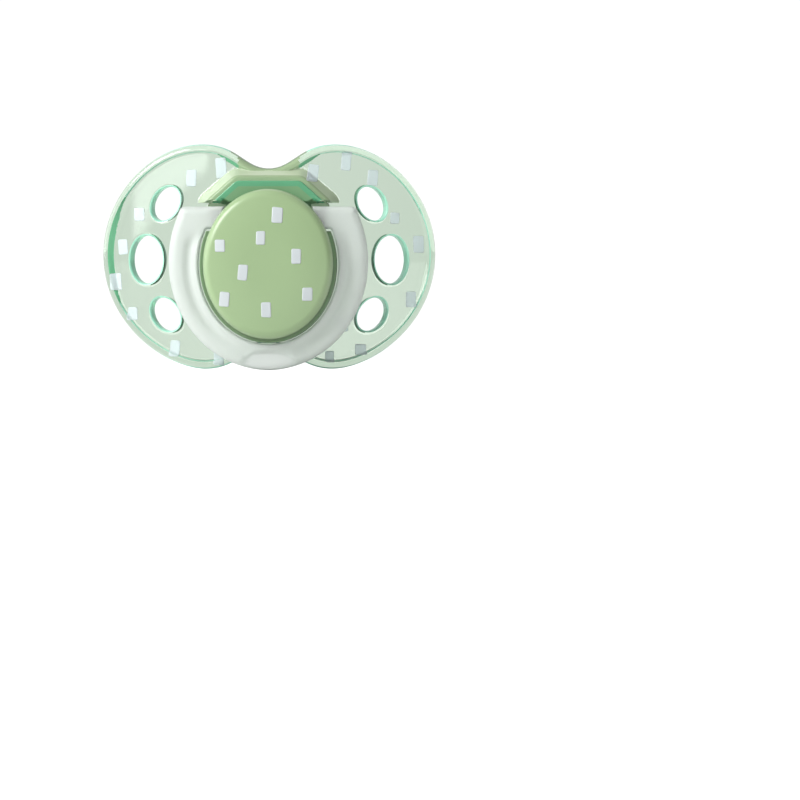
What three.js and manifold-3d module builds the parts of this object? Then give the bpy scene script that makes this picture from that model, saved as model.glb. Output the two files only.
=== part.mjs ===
// A baby's pacifier: a butterfly-shaped shield with six vent holes, a hollow silicone teat held by a plug,
// a domed oval knob, and a U-shaped handle that swings on two pins captured between shield and knob.
// Millimetres. +X is to the right seen from the front, +Y goes back into the mouth, +Z is up, towards the nose.
// Depths are first measured from the middle of the shield's mouth side, and the last lines move the origin
// to the centre of the whole pacifier.

import * as THREE from "three";
import { mergeVertices } from "three/addons/utils/BufferGeometryUtils.js";
import Module from "manifold-3d";

const wasm = await Module();
wasm.setup();

// ---- Driving dimensions ----

// Shield outline: half of a butterfly, from the nose notch over the upper lobe and side to the lower notch.
const NOTCH_Z = 16.0;
const LOBE_TOP = { x: 12.1, z: 20.3 };
const SIDE = { x: 30.0, z: 0.4 };
const LOBE_BOTTOM = { x: 11.5, z: -20.3 };
const LOWER_NOTCH_Z = -16.9;
const PLATE_FRONT_Y = -1.8; // at the middle
const PLATE_THICKNESS = 2.0;
const PLATE_RADIUS = 56; // of the shield's front, bent round a vertical axis behind it
const PLATE_RISE_RADIUS = 110; // of the same front, bent more gently from bottom to top
const RIM_WIDTH = 1.7;
const RIM_HEIGHT = 0.6;

// Vent holes on the right side: centre, half width, half height and lean of the long axis in degrees.
const VENTS = [
  { x: 18.4, z: 9.6, halfWidth: 2.5, halfHeight: 3.4, lean: 33 },
  { x: 21.85, z: -0.5, halfWidth: 3.3, halfHeight: 4.5, lean: 0 },
  { x: 18.4, z: -10.4, halfWidth: 2.5, halfHeight: 3.4, lean: -37 },
];

// Hub: everything on the teat's axis.
const HUB_Z = -1.45;
const HUB_HOLE_RADIUS = 5.15;
const HUB_PAD_RADIUS = 8.8;
const HUB_BACK_Y = 1.0; // flat face round the teat, on the mouth side
const HUB_FLOOR_Y = -2.0;
const SOCKET = { inner: 7.6, outer: 8.6, front: -4.4 }; // ring round the teat's flange
const BOSS = { x: 12.3, z: 14.1, wall: 1.4, front: -7.0 }; // oval wall under the knob's edge
const COLLAR = { foot: 11.3, footZ: 9.7, corner: 6.1, top: 14.4, land: 0.8, front: -3.9, slope: 2.0 };
const TOWER = { inset: 2.9, front: -5.4 }; // taller wall inside the collar's land, round the knob
const SNAP = { groove: 0.45, bead: 0.15, front: -5.9, back: -4.9, play: 0.2 };

// Handle and its pivot.
const PIVOT = { y: -4.05, z: 6.95 };
const PIN_RADIUS = 1.2;
const PIN_INNER_X = 5.8;
const SADDLE = { inner: 5.5, outer: 7.6, half: 2.2, bore: 1.3 };
const HANDLE_OUTER = { x: 18.0, z: 19.6, centre: -0.9 };
const HANDLE_INNER = { x: 12.6, z: 14.35, centre: -1.45 };
const HANDLE_TOP_Z = 8.95;
const ARM_INNER_X = 8.0;
const ARM_LOWER_Z = 4.95;
const ARM_CORNER = 1.3;
const HANDLE_BACK_Y = -2.6;
const HANDLE_THICKNESS = 4.0;
const HANDLE_BACK_RADIUS = 95;
const HANDLE_FLAT = 3.2; // half width of the flat in the middle of the bottom bar
const HEEL_RADIUS = 3.0; // of the rounded top of each arm
const SWING_CLEARANCE = 0.3;
const THUMB_SCOOP = { x: 5.4, y: 1.6, z: 2.7, depth: 0.4, centreZ: -19.3 };

// Knob.
const KNOB = { x: 11.7, z: 13.5, flat: 4.0, front: -11.2, back: -7.6, floor: -8.4, wall: 1.4 };
const KNOB_RIB = { inner: 5.2, outer: 6.4, back: -4.65 };
const SKIRT = { gap: 0.3, wall: 1.0, back: -4.7 };
const PIN_CAP_X = 7.2;
const PIN_CAP_Y = PIVOT.y - PIN_RADIUS - 0.15;

// Teat and plug.
const TEAT_TIP_Y = 31.0;
const TEAT_FLATNESS = 0.74; // height over width of the bulb
const FLANGE = { radius: 7.4, front: -3.25, back: -2.05 };
const PLUG = { disc: 7.2, front: -4.55, back: -3.35, stem: 3.8, bore: 2.6, end: 3.2 };

const FAR = 60; // longer than the whole pacifier, for cutting tools

// ---- Helpers ----

// A closed geometry as a solid.
function solid(geometry) {
  const bare = new THREE.BufferGeometry();
  bare.setAttribute("position", geometry.getAttribute("position"));
  bare.setIndex(geometry.index);
  const merged = mergeVertices(bare, 1e-4);
  const mesh = new wasm.Mesh({
    numProp: 3,
    vertProperties: new Float32Array(merged.attributes.position.array),
    triVerts: new Uint32Array(merged.index.array),
  });
  return new wasm.Manifold(mesh);
}

// A named mesh made from a solid.
function meshOf(name, shape, material) {
  const made = shape.getMesh();
  const geometry = new THREE.BufferGeometry();
  geometry.setAttribute("position", new THREE.BufferAttribute(new Float32Array(made.vertProperties), 3));
  geometry.setIndex(new THREE.BufferAttribute(new Uint32Array(made.triVerts), 1));
  geometry.computeVertexNormals();
  const mesh = new THREE.Mesh(geometry, material);
  mesh.name = name;
  return mesh;
}

// A flat outline in X and Z, pushed along Y from front to back. A slope widens it towards the back.
function prism(outline, front, back, slope = 0) {
  const depth = back - front;
  const options = { curveSegments: 30, depth, bevelEnabled: false };
  if (slope > 0) {
    Object.assign(options, {
      depth: 0.5,
      bevelEnabled: true,
      bevelThickness: depth,
      bevelSize: slope,
      bevelOffset: 0,
      bevelSegments: 1,
    });
  }
  const geometry = new THREE.ExtrudeGeometry(outline, options);
  geometry.rotateX(Math.PI / 2);
  geometry.translate(0, back, 0);
  return solid(geometry);
}

function box(low, high) {
  const size = new THREE.Vector3(...high).sub(new THREE.Vector3(...low));
  const geometry = new THREE.BoxGeometry(size.x, size.y, size.z);
  geometry.translate(low[0] + size.x / 2, low[1] + size.y / 2, low[2] + size.z / 2);
  return solid(geometry);
}

// A cylinder along X between two places, on a line given by its Y and Z.
function rod(radius, fromX, toX, y, z, segments = 32) {
  const geometry = new THREE.CylinderGeometry(radius, radius, toX - fromX, segments);
  geometry.rotateZ(Math.PI / 2);
  geometry.translate((fromX + toX) / 2, y, z);
  return solid(geometry);
}

// A turned piece on the hub's axis, from radius and depth pairs.
function turned(profile, segments = 40) {
  const points = profile.map(([radius, y]) => new THREE.Vector2(radius, y));
  const geometry = new THREE.LatheGeometry(points, segments);
  geometry.translate(0, 0, HUB_Z);
  return solid(geometry);
}

function ring(inner, outer, front, back) {
  const corners = [[inner, front], [outer, front], [outer, back], [inner, back], [inner, front]];
  return turned(corners);
}

function ellipse(halfWidth, halfHeight, centreZ) {
  const shape = new THREE.Shape();
  shape.absellipse(0, centreZ, halfWidth, halfHeight, 0, 2 * Math.PI, false, 0);
  return shape;
}

// A closed outline from its right half, given from top to bottom.
function mirrored(rightHalf) {
  const onAxis = (p) => Math.abs(p.x) < 1e-6;
  const leftHalf = rightHalf.filter((p) => !onAxis(p)).reverse();
  return new THREE.Shape([...rightHalf, ...leftHalf.map((p) => new THREE.Vector2(-p.x, p.y))]);
}

// Both a solid and its mirror image in the plane X = 0.
function bothSides(shape) {
  return shape.add(shape.mirror([1, 0, 0]));
}

// How far an arc has bent back at a distance from its middle.
function sagitta(radius, distance) {
  return radius - Math.sqrt(radius ** 2 - distance ** 2);
}

// A bent plate: the space between two arcs about one vertical axis, with an optional flat in the middle.
function bentSlab(frontY, thickness, frontRadius, flat = 0) {
  const reach = 34;
  const steps = 12;
  const arc = (radius, middleY) => {
    const points = [];
    for (let i = 0; i <= steps; i++) {
      const x = flat + ((reach - flat) * i) / steps;
      points.push(new THREE.Vector2(x, middleY + sagitta(radius, x - flat)));
    }
    return points;
  };
  const front = arc(frontRadius, frontY);
  const back = arc(frontRadius - thickness, frontY + thickness);
  const flipped = (points) => points.map((p) => new THREE.Vector2(-p.x, p.y));
  const outline = [...flipped(front).reverse(), ...front, ...back.reverse(), ...flipped(back.reverse())];
  const unique = outline.filter((p, i) => i === 0 || p.distanceTo(outline[i - 1]) > 1e-6);
  return new THREE.ExtrudeGeometry(new THREE.Shape(unique), { depth: 48, steps: 16, bevelEnabled: false })
    .translate(0, 0, -24);
}

// A slab bent both ways, as the shield is.
function shieldSlab(frontY, thickness, frontRadius) {
  const geometry = bentSlab(frontY, thickness, frontRadius);
  const places = geometry.getAttribute("position");
  for (let i = 0; i < places.count; i++) {
    places.setY(i, places.getY(i) + sagitta(PLATE_RISE_RADIUS, places.getZ(i)));
  }
  return solid(geometry);
}

// ---- Shield ----

function shieldHalf() {
  const path = new THREE.Path();
  path.moveTo(0, NOTCH_Z);
  path.bezierCurveTo(4.4, NOTCH_Z, LOBE_TOP.x - 6.6, LOBE_TOP.z, LOBE_TOP.x, LOBE_TOP.z);
  path.bezierCurveTo(LOBE_TOP.x + 8.8, LOBE_TOP.z, SIDE.x, SIDE.z + 11.3, SIDE.x, SIDE.z);
  path.bezierCurveTo(SIDE.x, SIDE.z - 13, LOBE_BOTTOM.x + 7.1, LOBE_BOTTOM.z, LOBE_BOTTOM.x, LOBE_BOTTOM.z);
  path.bezierCurveTo(LOBE_BOTTOM.x - 5.2, LOBE_BOTTOM.z, 4.6, LOWER_NOTCH_Z, 0, LOWER_NOTCH_Z);
  return path.getPoints(12);
}

// The same half outline moved inwards by a distance.
function insetHalf(half, distance) {
  return half.map((p, i) => {
    const before = half[i - 1] ?? new THREE.Vector2(-half[1].x, half[1].y);
    const after = half[i + 1] ?? new THREE.Vector2(-half[i - 1].x, half[i - 1].y);
    const along = after.clone().sub(before).normalize();
    return new THREE.Vector2(p.x + along.y * distance, p.y - along.x * distance);
  });
}

// An oval hole square to the bent plate at its place.
function vent({ x, z, halfWidth, halfHeight, lean }) {
  const shape = new THREE.Shape();
  shape.absellipse(0, 0, halfWidth, halfHeight, 0, 2 * Math.PI, false, 0);
  const geometry = new THREE.ExtrudeGeometry(shape, { depth: 12, bevelEnabled: false, curveSegments: 14 });
  geometry.rotateZ(THREE.MathUtils.degToRad(lean));
  geometry.rotateX(Math.PI / 2);
  geometry.translate(0, 6, 0);
  const slant = Math.asin(x / PLATE_RADIUS);
  geometry.rotateZ(slant);
  const frontY = PLATE_FRONT_Y + sagitta(PLATE_RADIUS, x) + sagitta(PLATE_RISE_RADIUS, z);
  geometry.translate(x, frontY + PLATE_THICKNESS / 2, z);
  return solid(geometry);
}

function collar() {
  const outline = (grow) =>
    mirrored([
      new THREE.Vector2(0, COLLAR.top + grow),
      new THREE.Vector2(COLLAR.corner + grow * 0.5, COLLAR.top + grow),
      new THREE.Vector2(COLLAR.foot + grow, COLLAR.footZ + grow * 0.4),
      new THREE.Vector2(COLLAR.foot + grow, COLLAR.footZ - 4),
      new THREE.Vector2(0, COLLAR.footZ - 4),
    ]);
  const land = prism(outline(0), COLLAR.front, 1, COLLAR.slope);
  const tower = prism(outline(-COLLAR.land), TOWER.front, 1);
  const aboveArms = box([-FAR, -FAR, PIVOT.z + 1.2], [FAR, FAR, FAR]);
  const pocket = prism(outline(-TOWER.inset), -FAR, HUB_FLOOR_Y);
  return { outside: land.add(tower).intersect(aboveArms), pocket };
}

function shield() {
  const half = shieldHalf();
  const outline = mirrored(half);
  const inset = mirrored(insetHalf(half, RIM_WIDTH));
  const plateSlab = shieldSlab(PLATE_FRONT_Y, PLATE_THICKNESS, PLATE_RADIUS);
  const rimSlab = shieldSlab(PLATE_FRONT_Y - RIM_HEIGHT, RIM_HEIGHT + 1, PLATE_RADIUS + RIM_HEIGHT);
  const inFront = shieldSlab(PLATE_FRONT_Y - 9, 10, PLATE_RADIUS + 9);
  const plate = prism(outline, -20, 20).intersect(plateSlab);
  const rim = prism(outline, -20, 20).subtract(prism(inset, -20, 20)).intersect(rimSlab);

  const { outside, pocket } = collar();
  const belowArms = box([-FAR, -FAR, -FAR], [FAR, FAR, ARM_LOWER_Z - 0.45]);
  const bossWall = prism(ellipse(BOSS.x, BOSS.z, HUB_Z), BOSS.front, 1).intersect(belowArms);
  const bossInside = ellipse(BOSS.x - BOSS.wall, BOSS.z - BOSS.wall, HUB_Z);
  const groove = ellipse(BOSS.x - BOSS.wall + SNAP.groove, BOSS.z - BOSS.wall + SNAP.groove, HUB_Z);
  const walls = outside
    .add(bossWall)
    .subtract(pocket.intersect(box([-FAR, -FAR, ARM_LOWER_Z], [FAR, FAR, FAR])))
    .subtract(prism(bossInside, -20, HUB_FLOOR_Y))
    .subtract(prism(groove, SNAP.front, SNAP.back))
    .intersect(inFront);

  const pad = turned([[0, HUB_FLOOR_Y], [HUB_PAD_RADIUS, HUB_FLOOR_Y], [HUB_PAD_RADIUS, HUB_BACK_Y], [0, HUB_BACK_Y]]);
  const socket = ring(SOCKET.inner, SOCKET.outer, SOCKET.front, HUB_FLOOR_Y + 0.5);
  const saddle = box(
    [SADDLE.inner, PIVOT.y, PIVOT.z - SADDLE.half],
    [SADDLE.outer, HUB_FLOOR_Y + 1.5, PIVOT.z + SADDLE.half],
  );
  const bore = rod(SADDLE.bore, SADDLE.inner - 0.2, SADDLE.outer + 0.2, PIVOT.y, PIVOT.z);
  const seat = ring(0.0001, SOCKET.inner, -12, HUB_FLOOR_Y);
  const hole = ring(0.0001, HUB_HOLE_RADIUS, -12, 12);
  const swing = rod(HEEL_RADIUS + SWING_CLEARANCE, ARM_INNER_X - SWING_CLEARANCE, 20, PIVOT.y, PIVOT.z, 48);

  let made = plate.add(rim).add(walls).add(pad).add(socket);
  made = made.add(bothSides(saddle)).subtract(bothSides(bore)).subtract(bothSides(swing));
  made = made.subtract(seat).subtract(hole);
  for (const place of VENTS) made = made.subtract(bothSides(vent(place)));
  return made;
}

// ---- Handle ----

function handleOutline() {
  const { x, z, centre } = HANDLE_OUTER;
  const onOuter = (height) => x * Math.sqrt(1 - ((height - centre) / z) ** 2);
  const cornerZ = HANDLE_TOP_Z - ARM_CORNER;
  const cornerX = onOuter(cornerZ);
  const right = new THREE.Path();
  right.moveTo(0, HANDLE_TOP_Z);
  right.lineTo(cornerX - ARM_CORNER, HANDLE_TOP_Z);
  right.quadraticCurveTo(cornerX - 0.15, HANDLE_TOP_Z, cornerX, cornerZ);
  const startAngle = Math.atan2((cornerZ - centre) / z, cornerX / x);
  right.absellipse(0, centre, x, z, startAngle, -Math.PI / 2, true, 0);
  return mirrored(right.getPoints(14));
}

function handle() {
  const frontY = HANDLE_BACK_Y - HANDLE_THICKNESS;
  const frontRadius = HANDLE_BACK_RADIUS + HANDLE_THICKNESS;
  const slab = solid(bentSlab(frontY, HANDLE_THICKNESS, frontRadius, HANDLE_FLAT));
  const { x, z, centre } = HANDLE_INNER;
  const loop = prism(ellipse(x, z, centre), -20, 20).intersect(box([-FAR, -FAR, -FAR], [FAR, FAR, ARM_LOWER_Z]));
  const throat = box([-ARM_INNER_X, -FAR, ARM_LOWER_Z - 1], [ARM_INNER_X, FAR, FAR]);
  const heel = rod(HEEL_RADIUS, -FAR, FAR, PIVOT.y, PIVOT.z, 48).add(box([-FAR, -FAR, -FAR], [FAR, FAR, PIVOT.z]));
  const scoop = new THREE.SphereGeometry(1, 32, 20);
  scoop.scale(THUMB_SCOOP.x, THUMB_SCOOP.y, THUMB_SCOOP.z);
  scoop.translate(0, frontY + THUMB_SCOOP.depth - THUMB_SCOOP.y, THUMB_SCOOP.centreZ);
  const pin = rod(PIN_RADIUS, PIN_INNER_X, ARM_INNER_X + 1, PIVOT.y, PIVOT.z);
  const bar = prism(handleOutline(), -20, 20).intersect(slab).intersect(heel);
  return bar.subtract(loop).subtract(throat).subtract(solid(scoop)).add(bothSides(pin));
}

// ---- Knob ----

// Half of the knob's section on its long axis, from the middle of the front round the edge to the inside.
function knobProfile() {
  const r = KNOB.z;
  const { flat, front, back, floor, wall } = KNOB;
  return [
    [0, front],
    [flat, front],
    [r * 0.55, front + 0.16],
    [r * 0.75, front + 0.48],
    [r - 1.9, front + 0.95],
    [r - 0.95, front + 1.5],
    [r - 0.35, front + 2.2],
    [r, back - 0.3],
    [r - 0.15, back],
    [r - wall, back],
    [r - wall, floor],
    [0, floor],
  ];
}

function knob() {
  const head = new THREE.LatheGeometry(knobProfile().map(([radius, y]) => new THREE.Vector2(radius, y)), 60);
  head.scale(KNOB.x / KNOB.z, 1, 1);
  head.translate(0, 0, HUB_Z);

  const outer = { x: BOSS.x - BOSS.wall - SKIRT.gap, z: BOSS.z - BOSS.wall - SKIRT.gap };
  const top = KNOB.floor - 0.5;
  const beadGrow = SKIRT.gap + SNAP.bead;
  const skirt = prism(ellipse(outer.x, outer.z, HUB_Z), top, SKIRT.back)
    .add(prism(ellipse(outer.x + beadGrow, outer.z + beadGrow, HUB_Z), SNAP.front + SNAP.play, SNAP.back - SNAP.play))
    .subtract(prism(ellipse(outer.x - SKIRT.wall, outer.z - SKIRT.wall, HUB_Z), -20, 20));
  const armSpace = box(
    [SADDLE.outer, KNOB.back, PIVOT.z - HEEL_RADIUS - SWING_CLEARANCE],
    [FAR, FAR, PIVOT.z + HEEL_RADIUS + SWING_CLEARANCE],
  );
  const pinSpace = box([SADDLE.inner - 0.4, PIN_CAP_Y, PIVOT.z - 2.6], [FAR, FAR, PIVOT.z + 2.6]);
  const cap = box([PIN_INNER_X, top, PIVOT.z - 1.2], [PIN_CAP_X, PIN_CAP_Y, PIVOT.z + 0.6]);
  const rib = ring(KNOB_RIB.inner, KNOB_RIB.outer, top, KNOB_RIB.back);
  const inside = skirt.subtract(bothSides(pinSpace)).add(bothSides(cap)).add(rib).subtract(bothSides(armSpace));
  return solid(head).add(inside);
}

// ---- Teat and its plug ----

// How far the teat is flattened at a depth: 1 is round, as the neck is.
function flattening(y) {
  const share = THREE.MathUtils.smoothstep(y, 2.5, 15);
  return 1 + (TEAT_FLATNESS - 1) * share;
}

function teat() {
  const outerNeck = 5.0;
  const innerNeck = 4.0;
  const bulb = (start, widest, tip) => {
    const curve = new THREE.CubicBezierCurve(start, widest.before, widest.after, widest.point);
    const nose = new THREE.EllipseCurve(0, widest.point.y, widest.point.x, tip - widest.point.y, 0, Math.PI / 2);
    return [...curve.getPoints(8), ...nose.getPoints(7).slice(1)];
  };
  const widestY = 21.5;
  const outside = bulb(
    new THREE.Vector2(4.7, 5.5),
    { before: new THREE.Vector2(4.7, 11), after: new THREE.Vector2(8.8, 14.5), point: new THREE.Vector2(8.8, widestY) },
    TEAT_TIP_Y,
  );
  const inside = bulb(
    new THREE.Vector2(3.3, 5.5),
    { before: new THREE.Vector2(3.3, 11.4), after: new THREE.Vector2(7.0, 14.8), point: new THREE.Vector2(7.0, widestY) },
    TEAT_TIP_Y - 1.9,
  );
  outside.at(-1).x = 0;
  inside.at(-1).x = 0;
  const neck = [
    [innerNeck, FLANGE.front],
    [FLANGE.radius, FLANGE.front],
    [FLANGE.radius, FLANGE.back],
    [outerNeck, FLANGE.back],
    [outerNeck, HUB_BACK_Y + 0.15],
    [outerNeck + 0.6, HUB_BACK_Y + 0.3],
    [outerNeck + 0.5, HUB_BACK_Y + 1.2],
    [outerNeck - 0.1, HUB_BACK_Y + 2.4],
  ].map(([radius, y]) => new THREE.Vector2(radius, y));
  const innerEnd = [new THREE.Vector2(innerNeck, PLUG.end + 0.6), new THREE.Vector2(innerNeck, FLANGE.front)];
  const profile = [...neck, ...outside, ...inside.reverse(), ...innerEnd];
  const geometry = new THREE.LatheGeometry(profile, 32);
  const places = geometry.getAttribute("position");
  for (let i = 0; i < places.count; i++) places.setZ(i, places.getZ(i) * flattening(places.getY(i)));
  geometry.translate(0, 0, HUB_Z);
  return solid(geometry);
}

function plug() {
  const { disc, front, back, stem, bore, end } = PLUG;
  const floor = end - 1.4;
  return turned([
    [0, floor],
    [bore, floor],
    [bore, front],
    [disc, front],
    [disc, back],
    [stem, back],
    [stem, end - 0.8],
    [stem - 0.7, end],
    [0, end],
  ]);
}

// ---- Materials and assembly ----

const clearGreen = new THREE.MeshStandardMaterial({
  color: 0xb9dfc4,
  roughness: 0.08,
  metalness: 0,
  transparent: true,
  opacity: 0.55,
});
const milkyWhite = new THREE.MeshStandardMaterial({
  color: 0xdfe6e0,
  roughness: 0.3,
  metalness: 0,
  transparent: true,
  opacity: 0.85,
});
const leafGreen = new THREE.MeshStandardMaterial({ color: 0xa5c48c, roughness: 0.2, metalness: 0 });
const clearSilicone = new THREE.MeshStandardMaterial({
  color: 0xf1f3ef,
  roughness: 0.15,
  metalness: 0,
  transparent: true,
  opacity: 0.5,
});
const whitePlastic = new THREE.MeshStandardMaterial({ color: 0xf0f1ee, roughness: 0.4, metalness: 0 });

const pacifier = new THREE.Group();
pacifier.add(meshOf("shield", shield(), clearGreen));
pacifier.add(meshOf("teat", teat(), clearSilicone));
pacifier.add(meshOf("teat_plug", plug(), whitePlastic));
pacifier.add(meshOf("knob", knob(), leafGreen));
pacifier.add(meshOf("handle", handle(), milkyWhite));

// The origin is the centre of the whole: the knob's front to the teat's tip, and the lobes' top to the handle's foot.
const lowestZ = HANDLE_OUTER.centre - HANDLE_OUTER.z;
pacifier.position.set(0, -(KNOB.front + TEAT_TIP_Y) / 2, -(LOBE_TOP.z + lowestZ) / 2);

const part = new THREE.Group();
part.add(pacifier);

export default part;
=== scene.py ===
"""The looks of a pacifier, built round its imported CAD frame.

Shapes are written in millimetres in the shield's own place: X to the right seen from the front, Y from the
front to the back with 0 just inside the plate's back at its middle, and Z up. placed() turns them into the
frame's metres.
"""

import math

import bmesh
import bpy
import numpy as np
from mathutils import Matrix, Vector, kdtree
from mathutils.geometry import delaunay_2d_cdt


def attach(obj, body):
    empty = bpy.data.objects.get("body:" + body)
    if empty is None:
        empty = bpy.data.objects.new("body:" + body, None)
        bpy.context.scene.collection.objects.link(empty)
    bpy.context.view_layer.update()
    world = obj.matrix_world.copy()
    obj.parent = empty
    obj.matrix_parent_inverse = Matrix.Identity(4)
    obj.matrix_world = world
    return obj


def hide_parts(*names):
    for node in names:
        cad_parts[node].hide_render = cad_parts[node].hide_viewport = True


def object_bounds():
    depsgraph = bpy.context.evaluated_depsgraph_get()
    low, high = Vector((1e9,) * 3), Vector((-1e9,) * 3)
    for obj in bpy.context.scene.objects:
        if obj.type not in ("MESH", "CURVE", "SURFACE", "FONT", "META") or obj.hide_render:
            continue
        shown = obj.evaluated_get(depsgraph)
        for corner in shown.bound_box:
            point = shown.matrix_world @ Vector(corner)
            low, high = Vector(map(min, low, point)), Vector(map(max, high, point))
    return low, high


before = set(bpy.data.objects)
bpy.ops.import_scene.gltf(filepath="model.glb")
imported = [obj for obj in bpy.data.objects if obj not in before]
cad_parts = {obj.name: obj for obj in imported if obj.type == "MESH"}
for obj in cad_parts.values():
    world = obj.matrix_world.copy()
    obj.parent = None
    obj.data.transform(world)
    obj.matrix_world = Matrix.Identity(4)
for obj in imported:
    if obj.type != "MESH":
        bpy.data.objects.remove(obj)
CAD_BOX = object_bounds()

# ---- The design's sizes, in millimetres ----

HUB_TO_FRAME = np.array([0.0, -9.9, 0.1])
HUB_Z = -1.45

PLATE_FRONT = -1.8
PLATE_THICK = 2.0
PLATE_R = 56.0
PLATE_RISE_R = 110.0
MID_R = PLATE_R - PLATE_THICK / 2
OUTLINE_FIT = 0.9945  # the rounded edge stands out past its own middle line
RIM_HEIGHT = 0.55
EDGE_R = 0.95

VENTS = (
    (18.4, 9.6, 2.42, 3.3, 33),
    (21.85, -0.5, 3.15, 4.35, 0),
    (18.4, -10.4, 2.42, 3.3, -37),
)
VENT_EDGE_R = 0.4

HUB_FLOOR = -2.0
HUB_BACK = 1.0
HUB_HOLE_R = 5.15
PAD_R = 8.8
SOCKET_IN, SOCKET_OUT, SOCKET_FRONT = 7.6, 8.6, -4.4
COLLAR = ((11.3, 5.6), (11.3, 9.7), (6.1, 14.4), (-6.1, 14.4), (-11.3, 9.7), (-11.3, 5.6))
COLLAR_FRONT, COLLAR_LAND, COLLAR_END = -3.3, 0.8, 9.75
COLLAR_SLOPE, CREST_ROUND, FOOT_ROUND = 2.1, 0.5, 0.3
ARMS_TOP = 9.9
TOWER_FRONT, TOWER_INSET = -5.4, 2.9
POCKET = (11.0, 12.8)
BOSS_OUT, BOSS_IN, BOSS_FRONT, BOSS_END = (12.35, 14.15), (10.9, 12.7), -7.0, 4.5
PIVOT_Y, PIVOT_Z = -4.05, 6.95
SADDLE_IN, SADDLE_OUT, SADDLE_HALF, BORE_R = 5.5, 7.6, 2.2, 1.3
HEEL_R = 3.0
SWING_R = 3.3

HANDLE_OUT = (18.0, 19.6, -0.9)
HANDLE_IN = (12.6, 14.35, -1.45)
HANDLE_TOP = 8.95
ARM_IN, ARM_LOW = 8.0, 4.95
HANDLE_BACK, HANDLE_THICK = -2.6, 4.0
HANDLE_R, HANDLE_FLAT = 95.0, 3.2

KNOB_X, KNOB_Z, KNOB_FRONT, KNOB_BACK, KNOB_FLOOR, KNOB_FLAT = 11.7, 13.5, -11.2, -7.6, -8.4, 4.0
TEAT_TIP = 31.0
TEAT_FLATNESS = 0.74


def placed(points):
    return (np.asarray(points, float) + HUB_TO_FRAME) * 0.001


# ---- Curves in the front view ----


def bezier(p0, p1, p2, p3, n=60):
    t = np.linspace(0, 1, n)[:, None]
    p0, p1, p2, p3 = (np.array(p, float) for p in (p0, p1, p2, p3))
    return (1 - t) ** 3 * p0 + 3 * (1 - t) ** 2 * t * p1 + 3 * (1 - t) * t**2 * p2 + t**3 * p3


def evened(loop, n):
    """The closed loop as n points at equal distances."""
    closed = np.vstack([loop, loop[:1]])
    along = np.concatenate([[0], np.cumsum(np.linalg.norm(np.diff(closed, axis=0), axis=1))])
    want = np.linspace(0, along[-1], n, endpoint=False)
    return np.column_stack([np.interp(want, along, closed[:, k]) for k in (0, 1)])


def normals_of(loop):
    """Normals that point out of a clockwise or anticlockwise closed loop."""
    along = np.roll(loop, -1, axis=0) - np.roll(loop, 1, axis=0)
    along /= np.linalg.norm(along, axis=1, keepdims=True)
    turned = np.column_stack([along[:, 1], -along[:, 0]])
    area = np.sum(loop[:, 0] * np.roll(loop[:, 1], -1) - np.roll(loop[:, 0], -1) * loop[:, 1])
    return turned * np.sign(area)


def grown(loop, distance):
    return loop + normals_of(loop) * distance


def ellipse(rx, rz, cx=0.0, cz=0.0, n=96):
    a = np.linspace(0, 2 * math.pi, n, endpoint=False)
    return np.column_stack([cx + rx * np.cos(a), cz + rz * np.sin(a)])


def rounded(corners, radius, n):
    """A polygon with its corners rounded off, as n even points."""
    corners = np.array(corners, float)
    points = []
    for i, c in enumerate(corners):
        before, after = corners[i - 1] - c, corners[(i + 1) % len(corners)] - c
        la, lb = np.linalg.norm(before), np.linalg.norm(after)
        ua, ub = before / la, after / lb
        half = math.acos(np.clip(ua @ ub, -1, 1)) / 2
        reach = min(radius / math.tan(half), 0.45 * la, 0.45 * lb)
        a, b = c + ua * reach, c + ub * reach
        t = np.linspace(0, 1, 12)[:, None]
        points.extend((1 - t) ** 2 * a + 2 * (1 - t) * t * c + t**2 * b)
    return evened(np.array(points), n)


def signed_distance(points, loop):
    """Distance of each point from a closed loop: positive outside, negative inside."""
    a, b = loop, np.roll(loop, -1, axis=0)
    ab = b - a
    squared = np.maximum((ab**2).sum(1), 1e-18)
    out = np.empty(len(points))
    for start in range(0, len(points), 4000):
        p = points[start : start + 4000, None, :]
        t = np.clip(((p - a) * ab).sum(2) / squared, 0, 1)
        away = p - (a + t[..., None] * ab)
        distance = np.sqrt((away**2).sum(2)).min(1)
        x, z = p[..., 0], p[..., 1]
        crosses = (a[:, 1] > z) != (b[:, 1] > z)
        rise = np.where(np.abs(ab[:, 1]) < 1e-15, 1e-15, ab[:, 1])
        meets = x < a[:, 0] + (z - a[:, 1]) / rise * ab[:, 0]
        inside = (crosses & meets).sum(1) % 2 == 1
        out[start : start + 4000] = np.where(inside, -distance, distance)
    return out


def outline():
    """The shield's butterfly outline."""
    half = [
        bezier((0, 15.96), (4.41, 15.96), (5.57, 20.34), (12.13, 20.34)),
        bezier((12.13, 20.34), (20.97, 20.34), (30.0, 11.76), (30.0, 0.43)),
        bezier((30.0, 0.43), (30.0, -12.54), (18.53, -20.29), (11.47, -20.29)),
        bezier((11.47, -20.29), (6.2, -20.29), (4.6, -16.85), (0, -16.85)),
    ]
    right = np.vstack([half[0]] + [h[1:] for h in half[1:]])
    left = right[1:-1][::-1] * (-1, 1)
    loop = np.vstack([right, left])
    loop[:, 0] *= OUTLINE_FIT
    return evened(loop, 320)


def vent(side, x, z, rx, rz, lean, n=60):
    """A vent hole's edge, in the plate's own coordinates."""
    a = np.linspace(0, 2 * math.pi, n, endpoint=False)
    turn = math.radians(lean)
    s, up = rx * np.cos(a), rz * np.sin(a)
    across = s * math.cos(turn) - up * math.sin(turn)
    height = s * math.sin(turn) + up * math.cos(turn)
    angle = math.asin(x / MID_R) + across / MID_R
    return np.column_stack([side * MID_R * np.sin(angle), z + height])


# ---- Meshes between a front and a back surface ----


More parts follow.
